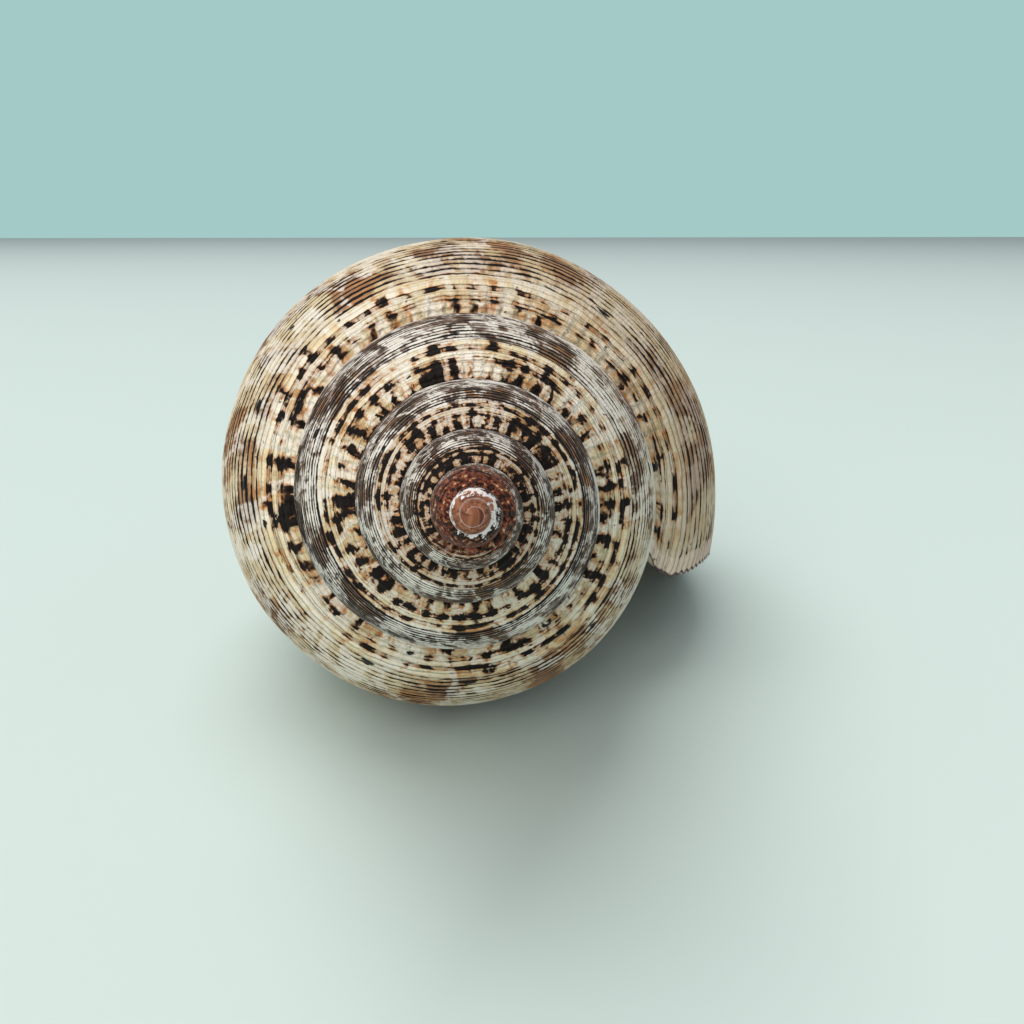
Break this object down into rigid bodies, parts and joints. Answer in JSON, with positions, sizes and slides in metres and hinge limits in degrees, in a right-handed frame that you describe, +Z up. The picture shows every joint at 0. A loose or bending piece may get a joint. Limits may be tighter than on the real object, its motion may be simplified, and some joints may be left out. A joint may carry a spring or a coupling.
{
  "type": "tulip shell",
  "caption": "Empty tulip shell of a right-handed sea snail, lying on its open side, with a pointed spire and a long open canal.",
  "frame": {"origin": "centre of the bounding box, at the bottom, on the surface that the shell lies on", "axes": "+Z up; the pointed end of the spire looks along -Y and the canal along +Y; the outer lip is at +X, with the mouth facing down"},
  "size_m": [0.0618, 0.1484, 0.0492],
  "materials": {
    "shell": "satin, worn"
  },
  "bodies": {
    "root": {"shell": "shell"}
  },
  "joints": []
}
